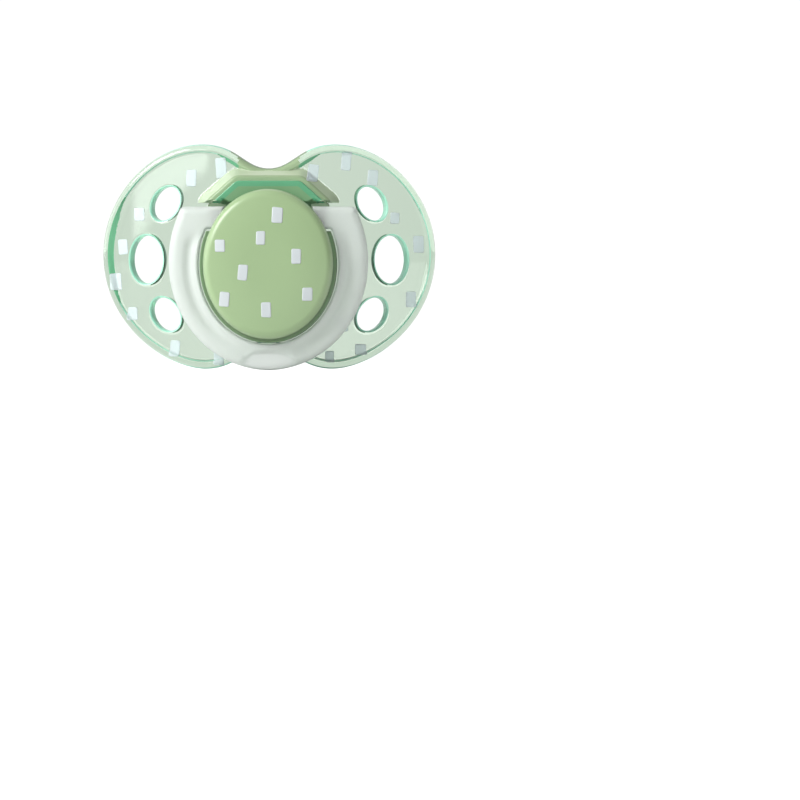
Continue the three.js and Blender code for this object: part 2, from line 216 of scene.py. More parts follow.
def away_from(points, loops, gap):
    """The points that keep a gap from every loop point."""
    every = np.vstack(loops)
    tree = kdtree.KDTree(len(every))
    for i, p in enumerate(every):
        tree.insert((p[0], p[1], 0), i)
    tree.balance()
    return np.array([p for p in points if tree.find((p[0], p[1], 0))[2] > gap])


def grid(low, high, spacing):
    """Places in rows that make even triangles."""
    rows = np.arange(low[1], high[1], spacing * 0.866)
    points = []
    for k, z in enumerate(rows):
        xs = np.arange(low[0] + (spacing / 2 if k % 2 else 0), high[0], spacing)
        points.append(np.column_stack([xs, np.full(len(xs), z)]))
    return np.vstack(points)


def triangulated(edges, chains, spacing, keep):
    """Triangles inside the region that keep() accepts.

    edges are its closed edge loops, and chains are (points, closed) lines that the triangles follow. Returns
    points, triangles, and each edge loop as indices.
    """
    lines = [(x, True) for x in edges] + list(chains)
    everything = np.vstack([x for x, _ in lines])
    inner = grid(everything.min(0), everything.max(0), spacing)
    inner = away_from(inner, [x for x, _ in lines], spacing * 0.45)
    inner = inner[keep(inner)]
    points, segments, starts = [], [], []
    for x, closed in lines:
        first = len(points)
        starts.append(first)
        points.extend(map(tuple, x))
        n = len(x)
        segments += [(first + i, first + i + 1) for i in range(n - 1)]
        if closed:
            segments.append((first + n - 1, first))
    points.extend(map(tuple, inner))
    made = delaunay_2d_cdt([Vector(p) for p in points], segments, [], 0, 1e-5, True)
    out = np.array([(v[0], v[1]) for v in made[0]])
    moved_to = {}
    for new, olds in enumerate(made[3]):
        for old in olds:
            moved_to[old] = new
    triangles = np.array(made[2])
    centre = out[triangles].mean(1)
    triangles = triangles[keep(centre)]
    rings = [[moved_to[starts[k] + i] for i in range(len(edges[k]))] for k in range(len(edges))]
    return out, triangles, rings


def facing(triangles, flat, front):
    """The triangles turned so that they face -Y when they are the front, and +Y when they are the back."""
    a, b, c = (flat[triangles[:, k]] for k in range(3))
    area = (b[:, 0] - a[:, 0]) * (c[:, 1] - a[:, 1]) - (c[:, 0] - a[:, 0]) * (b[:, 1] - a[:, 1])
    wrong = area < 0 if front else area > 0
    triangles = triangles.copy()
    triangles[wrong] = triangles[wrong][:, ::-1]
    return triangles


def shell(front, back, walls):
    """One closed mesh from (points, triangles, rings) of the front and of the back.

    walls has the number of steps that each wall between two edge loops takes: 0 where they are the same loop.
    """
    (pf, tf, rf), (pb, tb, rb) = front, back
    points = list(map(tuple, pf)) + list(map(tuple, pb))
    offset = len(pf)
    faces = [tuple(t) for t in tf] + [tuple(t + offset) for t in tb]
    same = {}
    for ring_f, ring_b, steps in zip(rf, rb, walls):
        n = len(ring_f)
        if steps == 0:
            same.update({ring_b[i] + offset: ring_f[i] for i in range(n)})
            continue
        rows = [list(ring_f)]
        for k in range(1, steps):
            share = k / steps
            row = []
            for i in range(n):
                a, b = np.array(pf[ring_f[i]]), np.array(pb[ring_b[i]])
                row.append(len(points))
                points.append(tuple(a + (b - a) * share))
            rows.append(row)
        rows.append([i + offset for i in ring_b])
        for upper, lower in zip(rows, rows[1:]):
            for i in range(n):
                j = (i + 1) % n
                faces.append((upper[i], lower[i], lower[j], upper[j]))
    faces = [tuple(same.get(i, i) for i in f) for f in faces]
    faces = [f for f in faces if len(set(f)) == len(f)]
    return points, faces


def mesh_object(name, points, faces, *materials, choose=None):
    """A named piece with its faces turned outwards. choose() picks faces' materials from their centres."""
    used = sorted({i for f in faces for i in f})
    again = {old: new for new, old in enumerate(used)}
    places = placed([points[i] for i in used])
    mesh = bpy.data.meshes.new(name)
    mesh.from_pydata([tuple(p) for p in places], [], [tuple(again[i] for i in f) for f in faces])
    mesh.validate()
    b = bmesh.new()
    b.from_mesh(mesh)
    bmesh.ops.remove_doubles(b, verts=b.verts, dist=1e-8)
    bmesh.ops.recalc_face_normals(b, faces=b.faces)
    b.to_mesh(mesh)
    b.free()
    for material in materials:
        mesh.materials.append(material)
    for polygon in mesh.polygons:
        polygon.use_smooth = True
    if choose is not None:
        centres = np.array([polygon.center for polygon in mesh.polygons]) * 1000 - HUB_TO_FRAME
        for polygon, picked in zip(mesh.polygons, choose(centres)):
            polygon.material_index = int(picked)
    o = bpy.data.objects.new(name, mesh)
    bpy.context.scene.collection.objects.link(o)
    return o


def sagitta(radius, distance):
    return radius - np.sqrt(np.maximum(radius**2 - distance**2, 0))


def ledge(s, top, bottom, r=0.2, w=0.05):
    """The Y along a wall, rounded by r at both ends: top where s is negative, bottom where it is over w."""
    up = np.clip(s + r, 0, r)
    down = np.clip(w + r - s, 0, r)
    high = top + r - np.sqrt(r * r - up * up)
    low = bottom - (r - np.sqrt(r * r - down * down))
    share = np.clip(s / w, 0, 1)
    return np.where(s <= 0, high, np.where(s >= w, low, (top + r) + (bottom - r - top - r) * share))


# Where triangle lines run beside a wall, so that it and its rounded ends are cut cleanly.
LEDGE_LINES = (-0.2, -0.14, -0.08, -0.03, 0.0, 0.05, 0.08, 0.13, 0.19, 0.25)


def soft_min(a, b, width, rounded=1):
    """The lower of a and b, with a round join of a given width between them."""
    share = np.clip(0.5 + 0.5 * (a - b) / width, 0, 1)
    return a + (b - a) * share - width * share * (1 - share) * rounded


# ---- Shield ----


def plate_place(points, h):
    """Places on the bent plate: h is the height over its front, along its own normal."""
    sine = points[:, 0] / MID_R
    rho = PLATE_R + h
    x = rho * sine
    y = PLATE_FRONT + PLATE_R - rho * np.sqrt(1 - sine**2) + sagitta(PLATE_RISE_R, points[:, 1])
    return np.column_stack([x, y, points[:, 1]])


def step_extra(p):
    """How much broader the rim's inner step is: at the far sides and beside the notch."""
    x, z = np.abs(p[:, 0]), p[:, 1]
    side = np.clip((x - 24.5) / 3.0, 0, 1) * np.clip((10.5 - np.abs(z - 1.5)) / 5.0, 0, 1)
    side *= np.where(p[:, 0] < 0, 1, 0.35)
    by_notch = np.clip(1.6 - np.abs(x - 6.6) / 1.6, 0, 1) * np.clip((z - 13) / 2.0, 0, 1)
    return np.maximum(0.7 * side, 0.5 * by_notch)


def rim_height(d, p):
    """The front's height over the plate at places p, which are the distances d in from the edge.

    It is a round edge, a bead, and a step down that is broader at the far sides and beside the notch.
    """
    full = 1.0 + RIM_HEIGHT
    inward = np.clip(d, 0, EDGE_R)
    edge = -1.0 + full * np.sqrt(np.clip(1 - ((EDGE_R - inward) / EDGE_R) ** 2, 0, 1))
    t = np.clip((d - 1.25) / (0.4 + step_extra(p)), 0, 1)
    return np.where(d < EDGE_R, edge, RIM_HEIGHT * (1 - t * t * (3 - 2 * t)))


def round_edge(d, r):
    """How far a surface drops at a distance in from a rounded edge."""
    inward = np.clip(d, 0, r)
    return -(r - np.sqrt(np.clip(r * r - (r - inward) ** 2, 0, None)))


UNDER = 3.0  # a level behind every front surface, where another one shows instead


def hub_levels(x, z, plate):
    """The Y of the shield's front, over the collar, the boss and what is inside them. x is the real one."""
    p = np.column_stack([x, z])
    collar = signed_distance(p, COLLAR_LOOP)
    bevel = -soft_min(-COLLAR_FRONT, -(COLLAR_FRONT + COLLAR_SLOPE * collar), CREST_ROUND)
    end = ledge(COLLAR_END - z, COLLAR_FRONT, UNDER)
    tower_end = ledge(COLLAR_END - z, TOWER_FRONT, UNDER)
    pocket = np.minimum(-collar - TOWER_INSET, -signed_distance(p, ellipse(*POCKET, 0, HUB_Z, 240)))
    tower = np.maximum(ledge(collar + COLLAR_LAND, TOWER_FRONT, UNDER), ledge(pocket, TOWER_FRONT, HUB_FLOOR))
    land = np.maximum.reduce([bevel, ledge(pocket + 1.0, COLLAR_FRONT, UNDER), end])
    y_collar = np.minimum(land, np.maximum(tower, tower_end))
    y_floor = np.maximum(ledge(collar + 0.5, HUB_FLOOR, UNDER), ledge(8.15 - z, HUB_FLOOR, UNDER))
    outer = signed_distance(p, ellipse(*BOSS_OUT, 0, HUB_Z, 240))
    inner = signed_distance(p, ellipse(*BOSS_IN, 0, HUB_Z, 240))
    boss_end = ledge(z - BOSS_END, BOSS_FRONT, UNDER)
    boss_walls = [ledge(outer, BOSS_FRONT, UNDER), ledge(-inner, BOSS_FRONT, HUB_FLOOR), boss_end]
    y_boss = np.maximum.reduce(boss_walls)
    y_boss_floor = np.maximum(ledge(outer + 0.5, HUB_FLOOR, UNDER), ledge(z - BOSS_END, HUB_FLOOR, UNDER))
    r = np.hypot(x, z - HUB_Z)
    y_pad = ledge(r - PAD_R, HUB_FLOOR, UNDER)
    socket_inside = ledge(SOCKET_IN - r, SOCKET_FRONT, HUB_FLOOR)
    y_socket = np.maximum(ledge(r - SOCKET_OUT, SOCKET_FRONT, UNDER), socket_inside)
    dz = np.abs(z - PIVOT_Z)
    beside = np.maximum.reduce([np.abs(x) - SADDLE_OUT, SADDLE_IN - np.abs(x), dz - SADDLE_HALF])
    groove = np.where(dz < BORE_R, PIVOT_Y + np.sqrt(np.maximum(BORE_R**2 - dz**2, 0)), -99)
    y_saddle = np.maximum(ledge(beside, PIVOT_Y, UNDER), groove)
    on_plate = soft_min(plate, y_collar, FOOT_ROUND, z > ARMS_TOP)
    return np.minimum.reduce([on_plate, y_floor, y_boss, y_boss_floor, y_pad, y_socket, y_saddle])


def cleared(places):
    """Places near the handle's arms, pushed out of the space that the arms swing through."""
    dy, dz = places[:, 1] - PIVOT_Y, places[:, 2] - PIVOT_Z
    away = np.hypot(dy, dz)
    inside = (away < SWING_R) & (np.abs(places[:, 0]) > ARM_IN - 0.3) & (np.abs(places[:, 0]) < 20)
    scale = np.where(inside, SWING_R / np.maximum(away, 1e-6), 1)
    out = places.copy()
    out[:, 1] = PIVOT_Y + dy * scale
    out[:, 2] = PIVOT_Z + dz * scale
    return out


def chain_where(loop, test):
    """The stretches of a closed loop where test holds, as open chains."""
    held = test(loop)
    if held.all():
        return [(loop, True)]
    if not held.any():
        return []
    start = next(i for i in range(len(loop)) if not held[i])
    order = [(start + i) % len(loop) for i in range(len(loop))]
    chains, run = [], []
    for i in order:
        if held[i]:
            run.append(i)
        elif len(run) > 1:
            chains.append((loop[run], False))
            run = []
        else:
            run = []
    if len(run) > 1:
        chains.append((loop[run], False))
    return chains


def line(x0, z0, x1, z1, n=12):
    t = np.linspace(0, 1, n)[:, None]
    return (np.array([[x0, z0]]) * (1 - t) + np.array([[x1, z1]]) * t, False)


COLLAR_LOOP = rounded(COLLAR, 2.4, 260)
SHRINK = MID_R / PLATE_R  # from a real X to the plate's own


BEVEL_LINES = (-0.24, -0.12, 0.0, 0.12, 0.24, 0.4, 0.6, 0.8, 0.95, 1.1, 1.25, 1.4, 1.55, 1.7, 1.85, 2.0)
GROOVE_LINES = (-1.299, -1.2, -0.9, -0.45, 0, 0.45, 0.9, 1.2, 1.299)
# The tower's two bands are painted shade, darker outside this line and lighter inside it.
BAND_SPLIT = 1.8  # between the tower's two bands


def above(p):
    """Over the handle's arms, and clear of the notch's edge."""
    return (p[:, 1] > 8.6) & (p[:, 1] < 15.7)


def below(p):
    return p[:, 1] < BOSS_END + 0.3


def hub_chains():
    """The lines that the front's triangles follow over the hub, in real X."""
    chains = []
    for s in BEVEL_LINES:
        chains += chain_where(grown(COLLAR_LOOP, s), above)
    for s in LEDGE_LINES:
        chains += chain_where(grown(COLLAR_LOOP, s - COLLAR_LAND), above)
        chains += chain_where(grown(COLLAR_LOOP, -TOWER_INSET - s), above)
        chains += chain_where(ellipse(POCKET[0] - s, POCKET[1] - s, 0, HUB_Z, 240), above)
    chains += chain_where(grown(COLLAR_LOOP, -BAND_SPLIT), above)
    for s in LEDGE_LINES:
        chains += chain_where(ellipse(BOSS_OUT[0] + s, BOSS_OUT[1] + s, 0, HUB_Z, 128), below)
        chains += chain_where(ellipse(BOSS_IN[0] - s, BOSS_IN[1] - s, 0, HUB_Z, 128), below)
        chains.append((ellipse(SOCKET_OUT + s, SOCKET_OUT + s, 0, HUB_Z, 80), True))
        chains.append((ellipse(SOCKET_IN - s, SOCKET_IN - s, 0, HUB_Z, 80), True))
        for side in (-1, 1):
            chains.append(line(side * 9.3, COLLAR_END - s, side * 14.6, COLLAR_END - s, 18))
            chains.append(line(side * 8.9, BOSS_END + s, side * 11.6, BOSS_END + s))
            low = (SADDLE_IN - s, PIVOT_Z - SADDLE_HALF - s)
            high = (SADDLE_OUT + s, PIVOT_Z + SADDLE_HALF + s)
            corners = ((low[0], low[1]), (high[0], low[1]), (high[0], high[1]), (low[0], high[1]))
            loop = evened(np.array(corners) * (side, 1), 44)
            chains.append((loop, True))
    for dz in GROOVE_LINES:
        for side in (-1, 1):
            chains.append(line(side * 5.6, PIVOT_Z + dz, side * 8.3, PIVOT_Z + dz, 6))
    return chains


EDGE_RINGS = (0.012, 0.05, 0.12, 0.22, 0.36, 0.54, 0.74, 0.95)
RIM_RINGS = (1.1, 1.25, 1.32, 1.39, 1.46, 1.53, 1.6, 1.67, 1.78, 1.9, 2.03, 2.16, 2.3, 2.6)
VENT_RINGS = (0.012, 0.05, 0.12, 0.21, 0.31, 0.4, 0.7)
SHIELD_SPACING = 1.1
PAD_RINGS = (5.2, 5.3, 5.45, 8.3, 8.5, 8.65, 8.8, 8.9, 9.0, 9.4)


def shield_mesh():
    """The front and the back as two height fields, joined at the edge and by the walls of the holes."""
    edge = outline()
    vents = [vent(side, *v) for v in VENTS for side in (-1, 1)]
    hole_front = ellipse(HUB_HOLE_R * SHRINK, HUB_HOLE_R, 0, HUB_Z, 96)
    edges = [edge] + vents + [hole_front]

    def keep(p):
        inside = signed_distance(p, edge) < 1e-6
        for v in vents + [hole_front]:
            inside &= signed_distance(p, v) > -1e-6
        return inside

    vent_rings = [(grown(v, s), True) for v in vents for s in VENT_RINGS]
    rim_rings = [(grown(edge, -s), True) for s in EDGE_RINGS + RIM_RINGS]
    shrunk = [(x * (SHRINK, 1), closed) for x, closed in hub_chains()]
    flat, triangles, rings = triangulated(edges, rim_rings + vent_rings + shrunk, SHIELD_SPACING, keep)

    def heights(p):
        h = rim_height(-signed_distance(p, edge), p)
        for v in vents:
            h = h + round_edge(signed_distance(p, v), VENT_EDGE_R)
        return h

    places = plate_place(flat, heights(flat))
    hub = (np.abs(flat[:, 0]) < 15) & (flat[:, 1] > -16.2) & (flat[:, 1] < 15.95)
    real_x = flat[hub, 0] / SHRINK
    places[hub, 1] = hub_levels(real_x, flat[hub, 1], places[hub, 1])
    places = cleared(places)
    front = (places, facing(triangles, flat, True), rings)

    back_rings = [(grown(edge, -s), True) for s in EDGE_RINGS + (1.4, 2.2)]
    pad_rings = [(ellipse(r * SHRINK, r, 0, HUB_Z, 96), True) for r in PAD_RINGS]
    back_chains = back_rings + vent_rings + pad_rings
    flat_b, triangles_b, rings_b = triangulated(edges, back_chains, SHIELD_SPACING, keep)
    d = -signed_distance(flat_b, edge)
    drop = -1.0 - np.sqrt(np.clip(1 - ((EDGE_R - np.clip(d, 0, EDGE_R)) / EDGE_R) ** 2, 0, 1))
    for v in vents:
        drop = drop - round_edge(signed_distance(flat_b, v), VENT_EDGE_R)
    places_b = plate_place(flat_b, drop)
    real_x = flat_b[:, 0] / SHRINK
    r = np.hypot(real_x, flat_b[:, 1] - HUB_Z)
    t = np.clip((9.0 - r) / 0.6, 0, 1)
    pad = HUB_BACK + round_edge(np.maximum(r - HUB_HOLE_R, 0), 0.3) * (r < 7)
    raised = np.maximum(places_b[:, 1], pad) * (r < 9.0) + places_b[:, 1] * (r >= 9.0)
    share = t * t * (3 - 2 * t)
    places_b[:, 1] = places_b[:, 1] * (1 - share) + raised * share
    near = r < 9.2
    places_b[near, 0] = real_x[near]
    back = (places_b, facing(triangles_b, flat_b, False), rings_b)
    return shell(front, back, [0] + [3] * len(vents) + [3])


# The shield's materials in order: the clear plate, then near-solid greens that paint in light and shade:
# painted shade on edges, dark and mid painted shade, painted shade on the boss, painted light and shade on
# the crest, and a painted highlight on the slopes.
PLATE, EDGE_SHADE, DARK_SHADE, MID_SHADE, BOSS_SHADE, CREST_LIGHT_AND_SHADE, SLOPE_LIGHT = range(7)
TOWER_EDGE, CREST_OUT = 0.76, 0.25  # where the crest ends, inside and outside the collar's outline
OUTLINE_WIDE, STEP_TOP = 0.22, 1.32  # in from the plate's edge, at the ends of triangle rings


def shield_kinds(centres):
    """The material of each of the shield's faces, as a place in SHIELD_MATERIALS.

    They are the clear plate, and near-solid greens that paint in light and shade: painted shade on the walls
    of its holes and outline, darker painted shade on the rim's broad step with the tower's outer band,
    lighter painted shade on the tower's inner band, painted shade on the boss, painted light on the collar's
    crest with painted shade over the bottom of the notch, and a pale painted highlight on the collar's
    slopes.
    """
    x, y, z = centres.T
    real = np.column_stack([x, z])
    angle = np.arctan2(x, PLATE_FRONT + PLATE_R + sagitta(PLATE_RISE_R, z) - y)
    flat = np.column_stack([MID_R * np.sin(angle), z])
    d = -signed_distance(flat, SHIELD_EDGE)
    extra = step_extra(flat)
    front = y < plate_place(flat, np.full(len(flat), -1.0))[:, 1]
    raised = plate_place(flat, rim_height(d, flat))[:, 1] - y
    inside = -signed_distance(real, COLLAR_LOOP)
    from_boss_out = signed_distance(real, ellipse(*BOSS_OUT, 0, HUB_Z, 240))
    from_boss_in = signed_distance(real, ellipse(*BOSS_IN, 0, HUB_Z, 240))

    # The tower's top gets painted shade in two bands: darker outside BAND_SPLIT, lighter inside it.
    over_pocket = (y < HUB_FLOOR - 0.3) | ((y < -0.5) & (z < ARMS_TOP))
    tower = (z > 8.2) & (inside > TOWER_EDGE) & over_pocket
    # Painted shade on the boss's front, where it shows in the gap between the knob and the handle.
    boss = front & (z < BOSS_END + 0.06) & (from_boss_out < 0.12) & (from_boss_in > -0.12) & (raised > 0.1)
    bevel = front & (z > 8.4) & (raised > 0.03)
    # Painted light on the collar's crest: a lit yellow-green.
    crest = bevel & (inside > -CREST_OUT) & (inside <= TOWER_EDGE)
    # A pale painted highlight on the collar's slopes, and on the front where the arms' swing cuts it.
    slope = bevel & (inside > -1.86) & (inside <= -CREST_OUT)
    swept = np.abs(np.hypot(y - PIVOT_Y, z - PIVOT_Z) - SWING_R) < 0.06
    slope |= front & swept & (np.abs(x) > ARM_IN - 0.3) & (np.abs(x) < 14)

    upper = z > 12
    by_notch = (np.abs(x) < 5.5) & upper
    # Painted shade over the bottom of the notch, in the crest's colour.
    notch = front & by_notch & (d > OUTLINE_WIDE) & (d < 1.75)
    notch_line = (d < OUTLINE_WIDE) & (np.abs(x) < 7) & upper
    # Painted shade along the outline, the rim's step line and the vents' walls.
    step_line = front & (d > STEP_TOP) & (d < 1.47) & ~by_notch
    edge = ((d < OUTLINE_WIDE) & ~notch_line) | step_line
    for v in VENTS:
        for side in (-1, 1):
            edge |= signed_distance(flat, vent(side, *v)) < 0.32
    # Painted shade over the rim's broad step, on the left side and beside the notch only.
    broad_step = front & ((x < 0) | upper) & (extra > 0.05) & (d > STEP_TOP) & (d < 1.45 + 1.05 * extra)

    kinds = np.full(len(centres), PLATE)
    kinds[edge] = EDGE_SHADE
    kinds[broad_step | (tower & (inside < BAND_SPLIT))] = DARK_SHADE
    kinds[tower & (inside >= BAND_SPLIT)] = MID_SHADE
    kinds[boss] = BOSS_SHADE
    kinds[crest | notch] = CREST_LIGHT_AND_SHADE
    # Painted shade: a dark line along the bottom of the notch.
    kinds[notch_line & ~edge] = BOSS_SHADE
    kinds[slope] = SLOPE_LIGHT
    return kinds


# ---- Handle ----


def handle_outline():
    """The U of the handle as one closed loop, from the right arm's inner top corner."""
    ox, oz, oc = HANDLE_OUT
    ix, iz, ic = HANDLE_IN
    top_x = ox * math.sqrt(1 - ((HANDLE_TOP - 1.3 - oc) / oz) ** 2)
    start = math.atan2((HANDLE_TOP - 1.3 - oc) / oz, top_x / ox)
    a = np.linspace(start, -math.pi - start, 220)
    outer = np.column_stack([ox * np.cos(a), oc + oz * np.sin(a)])
    t = np.linspace(0, 1, 12)[:-1, None]
    p0, p1, p2 = np.array([[top_x - 1.5, HANDLE_TOP], [top_x - 0.1, HANDLE_TOP], [top_x, HANDLE_TOP - 1.3]])
    corner = (1 - t) ** 2 * p0 + 2 * (1 - t) * t * p1 + t**2 * p2
    low_x = ix * math.sqrt(1 - ((ARM_LOW - ic) / iz) ** 2)
    inner_start = math.atan2((ARM_LOW - ic) / iz, low_x / ix)
    b = np.linspace(-math.pi - inner_start, inner_start, 180)
    inner = np.column_stack([ix * np.cos(b), ic + iz * np.sin(b)])
    top = np.column_stack([np.linspace(ARM_IN, top_x - 1.5, 12)[:-1], np.full(11, HANDLE_TOP)])
    arm_low = np.column_stack([np.linspace(low_x, ARM_IN, 8)[1:-1], np.full(6, ARM_LOW)])
    arm_side = np.column_stack([np.full(12, ARM_IN), np.linspace(ARM_LOW, HANDLE_TOP, 13)[:-1]])
    right_arm = np.vstack([arm_low, arm_side])
    left_arm = right_arm[::-1] * (-1, 1)
    mirrored_top = np.vstack([top, corner])[::-1] * (-1, 1)
    return np.vstack([top, corner, outer, mirrored_top[1:], left_arm, inner, right_arm])


HANDLE_RINGS = (0.012, 0.05, 0.12, 0.22, 0.35, 0.5, 0.7, 0.95, 1.25, 1.55)
HANDLE_SPACING = 0.55
LIP_AT, LIP_WIDE, LIP_RAISED = 0.45, 0.5, 0.1  # a low bead along the handle's opening
VALLEY_AT, VALLEY_WIDE, VALLEY_DEEP = 1.8, 0.8, 0.55  # and the hollow beside it
INNER_ROUND, OUTER_ROUND, BACK_ROUND = 0.55, 1.5, 0.8
SCOOP_Z, SCOOP_WIDE, SCOOP_HIGH, SCOOP_DEEP = -19.3, 5.0, 2.3, 0.6
HEEL_GAP = 0.15


def handle_mesh():
    """The handle: rounder at its outer edge than at its opening, with a thumb scoop low down.

    Round heels by the pins let it swing.
    """
    loop = evened(handle_outline(), 460)
    inner = ellipse(HANDLE_IN[0], HANDLE_IN[1], 0, HANDLE_IN[2], 360)

    def keep(p):
        return signed_distance(p, loop) < 1e-6

    def under_arms(p):
        return p[:, 1] < ARM_LOW - 0.8

    rings = [(grown(loop, -s), True) for s in HANDLE_RINGS]
    lip = [chain for s in (1.9, 2.3) for chain in chain_where(grown(inner, s), under_arms)]
    flat, triangles, edge_ring = triangulated([loop], rings + lip, HANDLE_SPACING, keep)
    d = -signed_distance(flat, loop)
    x, z = flat[:, 0], flat[:, 1]
    out = np.maximum(np.abs(x) - HANDLE_FLAT, 0)
    to_inner = signed_distance(flat, inner)
    on_lip = np.clip(1 - np.abs(to_inner - LIP_AT) / LIP_WIDE, 0, 1)
    lip_rise = LIP_RAISED * (on_lip**2 * (3 - 2 * on_lip))
    lowered = np.clip((ARM_LOW - 0.5 - z) / 2.5, 0, 1) * (0.25 + 0.75 * np.clip((z + 16.5) / 5, 0, 1))
    valley = VALLEY_DEEP * np.exp(-(((to_inner - VALLEY_AT) / VALLEY_WIDE) ** 2)) * lowered
    outer_share = np.clip((to_inner - 0.2) / 1.6, 0, 1)
    round_r = INNER_ROUND + (OUTER_ROUND - INNER_ROUND) * outer_share
    inward = np.clip(d, 0, round_r)
    level = np.sqrt(np.clip(1 - ((round_r - inward) / round_r) ** 2, 0, 1))
    drop = 1.25 * round_r / OUTER_ROUND * (1 - level)
    scoop = np.clip(1 - (x / SCOOP_WIDE) ** 2 - ((z - SCOOP_Z) / SCOOP_HIGH) ** 2, 0, 1)
    front_y = HANDLE_BACK - HANDLE_THICK + sagitta(HANDLE_R + HANDLE_THICK, out)
    front_y = front_y + drop + valley - lip_rise * lowered + SCOOP_DEEP * scoop**0.5
    back_y = HANDLE_BACK + sagitta(HANDLE_R, out) + round_edge(d, BACK_ROUND)
    high = np.clip(z - PIVOT_Z, 0, HEEL_R - 0.001)
    heel = np.sqrt(HEEL_R**2 - high**2)
    front_y = np.where(z > PIVOT_Z, np.maximum(front_y, PIVOT_Y - heel + HEEL_GAP), front_y)
    back_y = np.where(z > PIVOT_Z, np.minimum(back_y, PIVOT_Y + heel), back_y)
    front = (np.column_stack([x, front_y, z]), facing(triangles, flat, True), edge_ring)
    back = (np.column_stack([x, back_y, z]), facing(triangles, flat, False), edge_ring)
    return shell(front, back, [4])


def turned_mesh(profile, rx=1.0, segments=96, shape=None, centre_z=HUB_Z):
    """A piece turned round the hub's axis, from (radius, y) points that end on it or make a closed loop."""
    closed = np.allclose(profile[0], profile[-1])
    rows = list(profile[:-1]) if closed else list(profile)
    points, index = [], []
    for radius, y in rows:
        if radius < 1e-9:
            index.append([len(points)] * segments)
            points.append((0, y, centre_z))
            continue
        start = len(points)
        for k in range(segments):
            a = 2 * math.pi * k / segments
            px, pz = radius * math.cos(a) * rx, radius * math.sin(a)
            if shape is not None:
                px, pz = shape(px, pz, y)
            points.append((px, y, centre_z + pz))
        index.append(list(range(start, start + segments)))
    faces = []
    pairs = list(zip(index, index[1:])) + ([(index[-1], index[0])] if closed else [])
    for upper, lower in pairs:
        for k in range(segments):
            j = (k + 1) % segments
            face = []
            for i in (upper[k], lower[k], lower[j], upper[j]):
                if i not in face:
                    face.append(i)
            if len(face) > 2:
                faces.append(tuple(face))
    return points, faces


def joined(*meshes):
    points, faces = [], []
    for p, f in meshes:
        start = len(points)
        points += [tuple(x) for x in p]
        faces += [tuple(i + start for i in face) for face in f]
    return points, faces


def pin_mesh(side, x0=5.8, x1=10.2, r=1.2, n=40):
    rows = [(x0, 0.0), (x0, r - 0.25), (x0 + 0.08, r - 0.08), (x0 + 0.25, r), (x1, r), (x1, 0.0)]
    points, faces = turned_mesh([(radius, x) for x, radius in rows], segments=n, centre_z=0)
    turned = [(side * y, PIVOT_Y + x, PIVOT_Z + z) for x, y, z in points]
    return turned, faces


# ---- Knob ----


KNOB_DOME, KNOB_SHOULDER = 0.62, 1.75


def knob_profile():
    """Radius along the long axis and depth, from the middle of the front round to the inside."""
    r = KNOB_Z
    rows = [(0.0, KNOB_FRONT), (KNOB_FLAT * 0.5, KNOB_FRONT), (KNOB_FLAT, KNOB_FRONT)]
    for t in np.linspace(0, 1, 14)[1:]:
        radius = KNOB_FLAT + (r - KNOB_SHOULDER - KNOB_FLAT) * t
        rows.append((radius, KNOB_FRONT + KNOB_DOME * t**2.2))
    shoulder = KNOB_FRONT + KNOB_DOME
    for t in np.linspace(0, 1, 9)[1:]:
        a = t * math.pi / 2
        radius = r - KNOB_SHOULDER + 1.7 * math.sin(a) ** 0.9
        rows.append((radius, shoulder + KNOB_SHOULDER * (1 - math.cos(a)) + 0.12 * t))
    rows += [(r, KNOB_BACK - 1.0), (r, KNOB_BACK - 0.3), (r - 0.06, KNOB_BACK - 0.1), (r - 0.22, KNOB_BACK)]
    rows += [(r - 1.2, KNOB_BACK), (r - 1.4, KNOB_BACK - 0.2), (r - 1.4, KNOB_FLOOR + 0.2)]
    rows += [(r - 1.6, KNOB_FLOOR), (r * 0.5, KNOB_FLOOR), (0.0, KNOB_FLOOR)]
    return rows


def knob_front_y(x, z):
    """The Y of the knob's front at a place in the front view."""
    rows = [p for p in knob_profile() if p[1] < KNOB_FRONT + 2.4]
    radius = np.hypot(np.asarray(x) * KNOB_Z / KNOB_X, np.asarray(z) - HUB_Z)
    return np.interp(radius, [p[0] for p in rows], [p[1] for p in rows])


def arc_bar(rx_in, rz_in, rx_out, rz_out, front, back, start, stop, n=60):
    """A curved bar between two ellipses round the hub, from one angle to another, in degrees."""
    a = np.radians(np.linspace(start, stop, n))
    points, faces = [], []
    for t in a:
        c, s = math.cos(t), math.sin(t)
        inner, outer = (rx_in * c, HUB_Z + rz_in * s), (rx_out * c, HUB_Z + rz_out * s)
        section = ((inner, front), (outer, front), (outer, back), (inner, back))
        points += [(x, y, z) for (x, z), y in section]
    for i in range(n - 1):
        for k in range(4):
            j = (k + 1) % 4
            faces.append((4 * i + k, 4 * i + j, 4 * i + 4 + j, 4 * i + 4 + k))
    faces += [(0, 1, 2, 3), tuple(4 * (n - 1) + k for k in (3, 2, 1, 0))]
    return points, faces


def knob_mesh():
    head = turned_mesh(knob_profile(), rx=KNOB_X / KNOB_Z, segments=160)
    low = arc_bar(9.6, 11.4, 10.6, 12.4, KNOB_FLOOR - 0.2, -4.7, 155, 385)
    high = arc_bar(9.6, 11.4, 10.6, 12.4, KNOB_FLOOR - 0.2, -4.7, 72, 108, 20)
    rib_rows = [(5.2, -8.6), (6.4, -8.6), (6.4, -4.7), (6.3, -4.65), (5.3, -4.65), (5.2, -4.7), (5.2, -8.6)]
    rib = turned_mesh(rib_rows)
    return joined(head, low, high, rib)


# ---- Teat and plug ----


